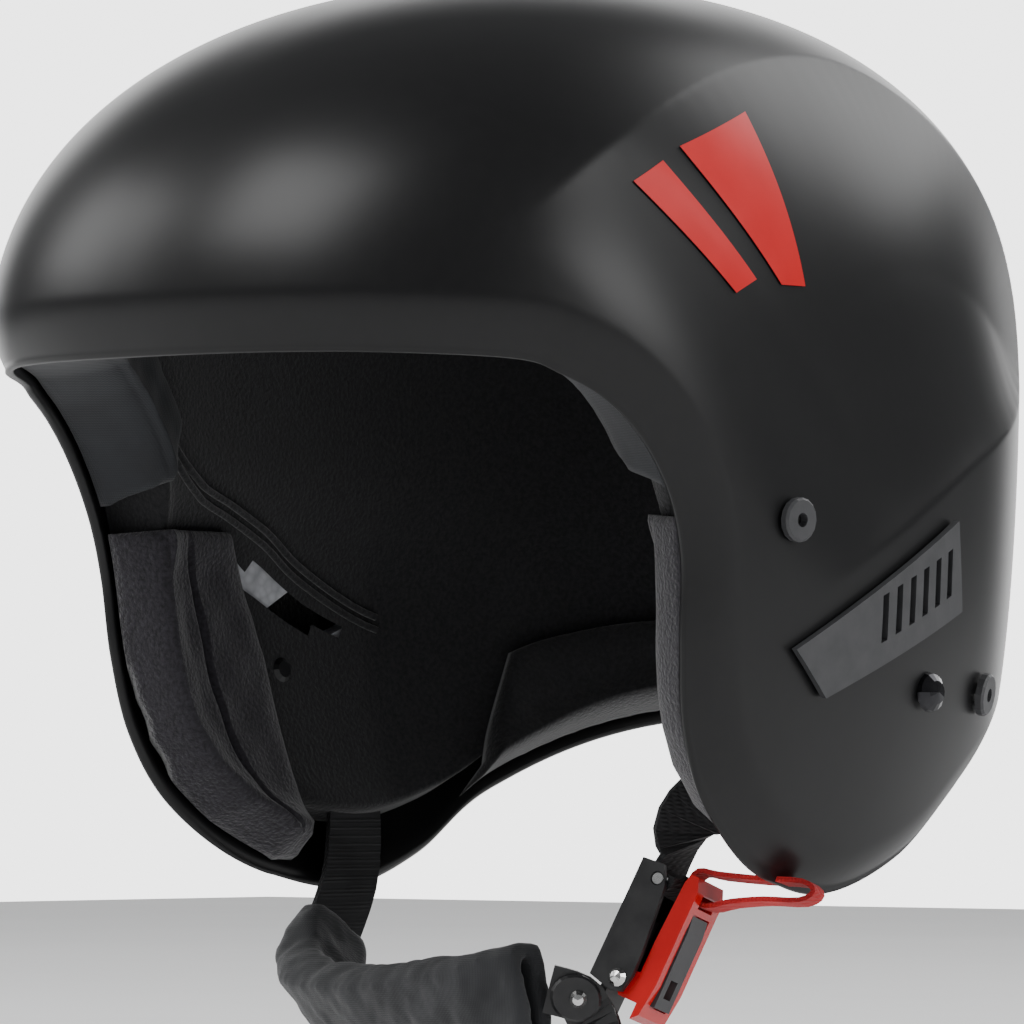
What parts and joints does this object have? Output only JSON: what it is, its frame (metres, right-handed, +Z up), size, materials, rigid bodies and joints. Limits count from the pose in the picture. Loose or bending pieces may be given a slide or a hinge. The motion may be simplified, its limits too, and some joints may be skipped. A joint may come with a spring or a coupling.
{
  "type": "ski helmet",
  "caption": "Hard-ear ski racing helmet: full shell with recessed side panels, foam and fabric lining, ear grilles, padded chin strap with a ratchet buckle.",
  "frame": {"origin": "where the crown of the wearer's head touches the crown liner, on the helmet's middle plane", "axes": "+Z up out of the crown, -Y the way the wearer faces, +X the wearer's left"},
  "size_m": [0.23, 0.2909, 0.2828],
  "materials": {
    "shell_lacquer": "satin black lacquer over a laminated composite shell",
    "foam_grey": "expanded polystyrene, fine beads",
    "liner_fabric": "black brushed knit over thin foam",
    "brow_fabric": "dark slate smooth knit over foam",
    "pad_suede": "dark fleece-like suede",
    "grey_plastic": "moulded, satin",
    "black_plastic": "moulded nylon, satin",
    "red_lacquer": "gloss red lacquer",
    "badge_red": "red film decal",
    "steel": "polished steel",
    "black_chrome": "black chrome, polished",
    "webbing_black": "flat woven polyester webbing",
    "webbing_red": "woven red tape",
    "sleeve_nylon": "plain woven nylon over foam",
    "mesh_black": "open acoustic foam mesh"
  },
  "bodies": {
    "helmet": {"outer_shell": "shell_lacquer", "eps_liner": "foam_grey", "crown_liner": "liner_fabric", "brow_liner": "brow_fabric", "neck_roll": "liner_fabric", "ear_pad_left": "pad_suede", "ear_pad_right": "pad_suede", "pad_snap_left": "black_plastic", "pad_snap_right": "black_plastic", "ear_grille_left": "grey_plastic", "ear_grille_right": "grey_plastic", "ear_mesh_left": "mesh_black", "ear_mesh_right": "mesh_black", "side_badge_left": "badge_red", "side_badge_right": "badge_red", "strap_rivet_left": "black_chrome", "strap_rivet_right": "black_chrome", "rivet_washer_left": "steel", "rivet_washer_right": "steel", "guard_washer_front_left": "grey_plastic", "guard_washer_front_right": "grey_plastic", "guard_washer_rear_left": "grey_plastic", "guard_washer_rear_right": "grey_plastic", "guard_insert_front_left": "steel", "guard_insert_front_right": "steel", "guard_insert_rear_left": "steel", "guard_insert_rear_right": "steel"},
    "left_strap": {"strap_left": "webbing_black", "buckle_frame": "black_plastic", "buckle_pin": "steel", "strap_bar": "steel", "lever_spring": "steel"},
    "lever": {"release_lever": "red_lacquer", "lever_insert": "grey_plastic"},
    "pull_tape": {"pull_loop": "webbing_red"},
    "right_strap": {"strap_right": "webbing_black", "chin_sleeve": "sleeve_nylon"},
    "tongue": {"ratchet_tongue": "black_plastic", "tongue_plate": "black_plastic", "tongue_rivet": "steel"}
  },
  "joints": [
    {"name": "left_strap_swing", "type": "hinge", "parent": "helmet", "child": "left_strap", "pos_m": [0, 0.042, -0.1565], "axis": [1, 0, 0], "range_deg": [0, 4]},
    {"name": "right_strap_swing", "type": "hinge", "parent": "helmet", "child": "right_strap", "pos_m": [0, 0.042, -0.1565], "axis": [1, 0, 0], "range_deg": [0, 4]},
    {"name": "lever_release", "type": "hinge", "parent": "left_strap", "child": "lever", "pos_m": [0.0526, -0.0119, -0.231], "axis": [-0.3111, 0.9293, -0.199], "range_deg": [0, 22], "stiffness_Nm_per_rad": 0.06},
    {"name": "pull_tape_swing", "type": "hinge", "parent": "lever", "child": "pull_tape", "pos_m": [0.06731, -0.00182, -0.20696], "axis": [-0.3111, 0.9293, -0.199], "range_deg": [0, 10], "stiffness_Nm_per_rad": 0.01},
    {"name": "tongue_feed", "type": "slide", "parent": "right_strap", "child": "tongue", "axis": [-0.3, -0.295, -0.9071], "range_m": [0, 0.003]}
  ],
  "couplings": [
    {"joint": "right_strap_swing", "follows": "left_strap_swing", "ratio": 1}
  ]
}
